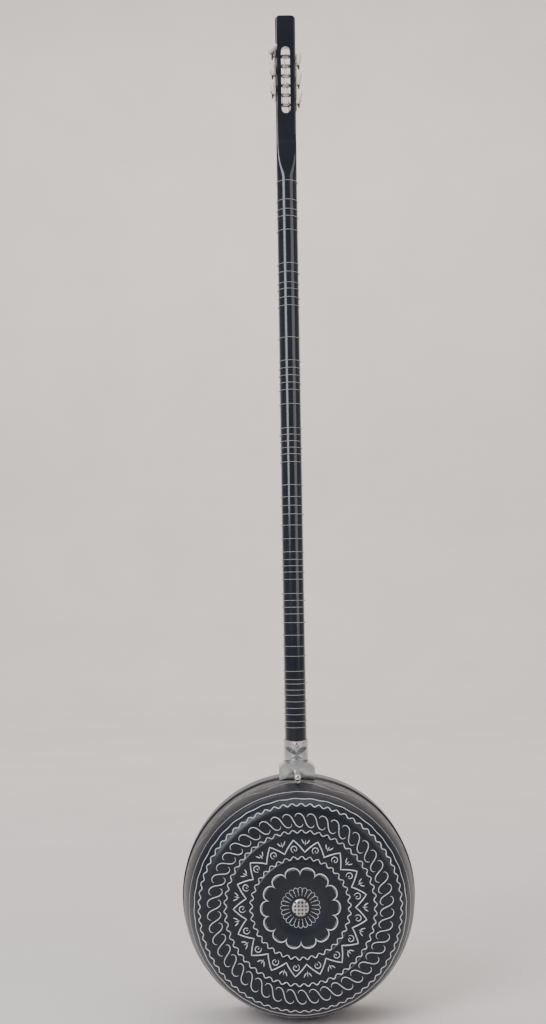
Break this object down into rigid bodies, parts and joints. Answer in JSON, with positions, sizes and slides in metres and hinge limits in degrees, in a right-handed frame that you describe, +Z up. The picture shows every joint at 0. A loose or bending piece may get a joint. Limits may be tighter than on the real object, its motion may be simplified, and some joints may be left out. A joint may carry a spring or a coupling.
{
  "type": "tanbur",
  "caption": "Long-neck plucked lute with a round spun metal pot, drum skin, tied frets, hinged heel and worm-geared tuning machines.",
  "frame": {"origin": "lowest point of the pot's rim, on the middle plane", "axes": "+Z up along the neck, +Y out of the drum skin, the pot's back towards -Y"},
  "size_m": [0.3, 0.1293, 1.3171],
  "materials": {
    "adjusting_screw": "nickel plated",
    "backing_plate": "bare",
    "base_shoe": "polished casting",
    "bearing_ring": "as cast",
    "boss_nut": "plated",
    "bridge": "bare maple",
    "centre_boss": "polished casting",
    "drum_head": "drum skin",
    "fingerboard": "dark hardwood",
    "flesh_hoop": "bare",
    "heel_screw": "nickel plated",
    "heel_socket": "polished casting",
    "hinge_pin": "bare",
    "neck": "gloss black lacquer",
    "nut": "bone",
    "pot_shell": "satin black paint with engraved bright lines",
    "shoe_screw_left": "plated",
    "shoe_screw_right": "plated",
    "string_1": "plain wire",
    "string_2": "plain wire",
    "string_3": "plain wire",
    "string_4": "plain wire",
    "string_5": "plain wire",
    "string_6": "plain wire",
    "string_roller_1": "nickel plated",
    "string_roller_2": "nickel plated",
    "string_roller_3": "nickel plated",
    "string_roller_4": "nickel plated",
    "string_roller_5": "nickel plated",
    "string_roller_6": "nickel plated",
    "string_winding_1": "plain wire",
    "string_winding_2": "plain wire",
    "string_winding_3": "plain wire",
    "string_winding_4": "plain wire",
    "string_winding_5": "plain wire",
    "string_winding_6": "plain wire",
    "tailpiece": "nickel plated, with the six tail wires",
    "tailpiece_screw_left": "plated",
    "tailpiece_screw_right": "plated",
    "tension_ring": "nickel plated",
    "tuner_button_1": "cream",
    "tuner_button_2": "cream",
    "tuner_button_3": "cream",
    "tuner_button_4": "cream",
    "tuner_button_5": "cream",
    "tuner_button_6": "cream",
    "tuner_plate_left": "nickel plated",
    "tuner_plate_right": "nickel plated",
    "worm_gear_1": "dark bronze",
    "worm_gear_2": "dark bronze",
    "worm_gear_3": "dark bronze",
    "worm_gear_4": "dark bronze",
    "worm_gear_5": "dark bronze",
    "worm_gear_6": "dark bronze",
    "worm_shaft_1": "dark bronze",
    "worm_shaft_2": "dark bronze",
    "worm_shaft_3": "dark bronze",
    "worm_shaft_4": "dark bronze",
    "worm_shaft_5": "dark bronze",
    "worm_shaft_6": "dark bronze"
  },
  "bodies": {
    "pot_body": {"pot_shell": "pot_shell", "centre_boss": "centre_boss", "boss_nut": "boss_nut", "bearing_ring": "bearing_ring", "drum_head": "drum_head", "flesh_hoop": "flesh_hoop", "tension_ring": "tension_ring", "bridge": "bridge", "tailpiece": "tailpiece", "tailpiece_screw_left": "tailpiece_screw_left", "tailpiece_screw_right": "tailpiece_screw_right", "base_shoe": "base_shoe", "hinge_pin": "hinge_pin", "backing_plate": "backing_plate", "shoe_screw_left": "shoe_screw_left", "shoe_screw_right": "shoe_screw_right"},
    "neck_body": {"neck": "neck", "fingerboard": "fingerboard", "nut": "nut", "heel_socket": "heel_socket", "heel_screw": "heel_screw", "tuner_plate_left": "tuner_plate_left", "tuner_plate_right": "tuner_plate_right", "string_winding_1": "string_winding_1", "string_winding_2": "string_winding_2", "string_winding_3": "string_winding_3", "string_winding_4": "string_winding_4", "string_winding_5": "string_winding_5", "string_winding_6": "string_winding_6"},
    "strings_body": {"string_1": "string_1", "string_2": "string_2", "string_3": "string_3", "string_4": "string_4", "string_5": "string_5", "string_6": "string_6"},
    "adjusting_body": {"adjusting_screw": "adjusting_screw"},
    "worm_body_1": {"worm_shaft_1": "worm_shaft_1", "tuner_button_1": "tuner_button_1"},
    "roller_body_1": {"string_roller_1": "string_roller_1", "worm_gear_1": "worm_gear_1"},
    "worm_body_2": {"worm_shaft_2": "worm_shaft_2", "tuner_button_2": "tuner_button_2"},
    "roller_body_2": {"string_roller_2": "string_roller_2", "worm_gear_2": "worm_gear_2"},
    "worm_body_3": {"worm_shaft_3": "worm_shaft_3", "tuner_button_3": "tuner_button_3"},
    "roller_body_3": {"string_roller_3": "string_roller_3", "worm_gear_3": "worm_gear_3"},
    "worm_body_4": {"worm_shaft_4": "worm_shaft_4", "tuner_button_4": "tuner_button_4"},
    "roller_body_4": {"string_roller_4": "string_roller_4", "worm_gear_4": "worm_gear_4"},
    "worm_body_5": {"worm_shaft_5": "worm_shaft_5", "tuner_button_5": "tuner_button_5"},
    "roller_body_5": {"string_roller_5": "string_roller_5", "worm_gear_5": "worm_gear_5"},
    "worm_body_6": {"worm_shaft_6": "worm_shaft_6", "tuner_button_6": "tuner_button_6"},
    "roller_body_6": {"string_roller_6": "string_roller_6", "worm_gear_6": "worm_gear_6"}
  },
  "joints": [
    {"name": "neck_tilt", "type": "hinge", "parent": "pot_body", "child": "neck_body", "pos_m": [0, -0.006, 0.3095], "axis": [1, 0, 0], "range_deg": [-1, 1]},
    {"name": "strings_follow", "type": "hinge", "parent": "pot_body", "child": "strings_body", "pos_m": [0, 0.0205, 0.065], "axis": [1, 0, 0], "range_deg": [-0.8, 0.8]},
    {"name": "adjusting_turn", "type": "hinge", "parent": "pot_body", "child": "adjusting_body", "pos_m": [0, -0.05, 0.3027], "axis": [0, 1, 0], "range_deg": [-54, 54]},
    {"name": "worm_turn_1", "type": "hinge", "parent": "neck_body", "child": "worm_body_1", "pos_m": [0.0179, -0.01426, 1.20996], "axis": [0, 0.9703, 0.2419], "continuous": true},
    {"name": "roller_turn_1", "type": "hinge", "parent": "neck_body", "child": "roller_body_1", "pos_m": [0, -0.01272, 1.20375], "axis": [1, 0, 0], "continuous": true},
    {"name": "worm_turn_2", "type": "hinge", "parent": "neck_body", "child": "worm_body_2", "pos_m": [-0.0179, -0.01731, 1.22219], "axis": [0, 0.9703, 0.2419], "continuous": true},
    {"name": "roller_turn_2", "type": "hinge", "parent": "neck_body", "child": "roller_body_2", "pos_m": [0, -0.01576, 1.21598], "axis": [1, 0, 0], "continuous": true},
    {"name": "worm_turn_3", "type": "hinge", "parent": "neck_body", "child": "worm_body_3", "pos_m": [0.0179, -0.02036, 1.23441], "axis": [0, 0.9703, 0.2419], "continuous": true},
    {"name": "roller_turn_3", "type": "hinge", "parent": "neck_body", "child": "roller_body_3", "pos_m": [0, -0.01881, 1.2282], "axis": [1, 0, 0], "continuous": true},
    {"name": "worm_turn_4", "type": "hinge", "parent": "neck_body", "child": "worm_body_4", "pos_m": [-0.0179, -0.02341, 1.24664], "axis": [0, 0.9703, 0.2419], "continuous": true},
    {"name": "roller_turn_4", "type": "hinge", "parent": "neck_body", "child": "roller_body_4", "pos_m": [0, -0.02186, 1.24043], "axis": [1, 0, 0], "continuous": true},
    {"name": "worm_turn_5", "type": "hinge", "parent": "neck_body", "child": "worm_body_5", "pos_m": [0.0179, -0.02646, 1.25886], "axis": [0, 0.9703, 0.2419], "continuous": true},
    {"name": "roller_turn_5", "type": "hinge", "parent": "neck_body", "child": "roller_body_5", "pos_m": [0, -0.02491, 1.25265], "axis": [1, 0, 0], "continuous": true},
    {"name": "worm_turn_6", "type": "hinge", "parent": "neck_body", "child": "worm_body_6", "pos_m": [-0.0179, -0.02951, 1.27109], "axis": [0, 0.9703, 0.2419], "continuous": true},
    {"name": "roller_turn_6", "type": "hinge", "parent": "neck_body", "child": "roller_body_6", "pos_m": [0, -0.02796, 1.26488], "axis": [1, 0, 0], "continuous": true}
  ],
  "couplings": [
    {"joint": "strings_follow", "follows": "neck_tilt", "ratio": 0.7757},
    {"joint": "adjusting_turn", "follows": "neck_tilt", "ratio": 53.4},
    {"joint": "roller_turn_1", "follows": "worm_turn_1", "ratio": 0.071429},
    {"joint": "roller_turn_2", "follows": "worm_turn_2", "ratio": 0.071429},
    {"joint": "roller_turn_3", "follows": "worm_turn_3", "ratio": 0.071429},
    {"joint": "roller_turn_4", "follows": "worm_turn_4", "ratio": 0.071429},
    {"joint": "roller_turn_5", "follows": "worm_turn_5", "ratio": 0.071429},
    {"joint": "roller_turn_6", "follows": "worm_turn_6", "ratio": 0.071429}
  ]
}
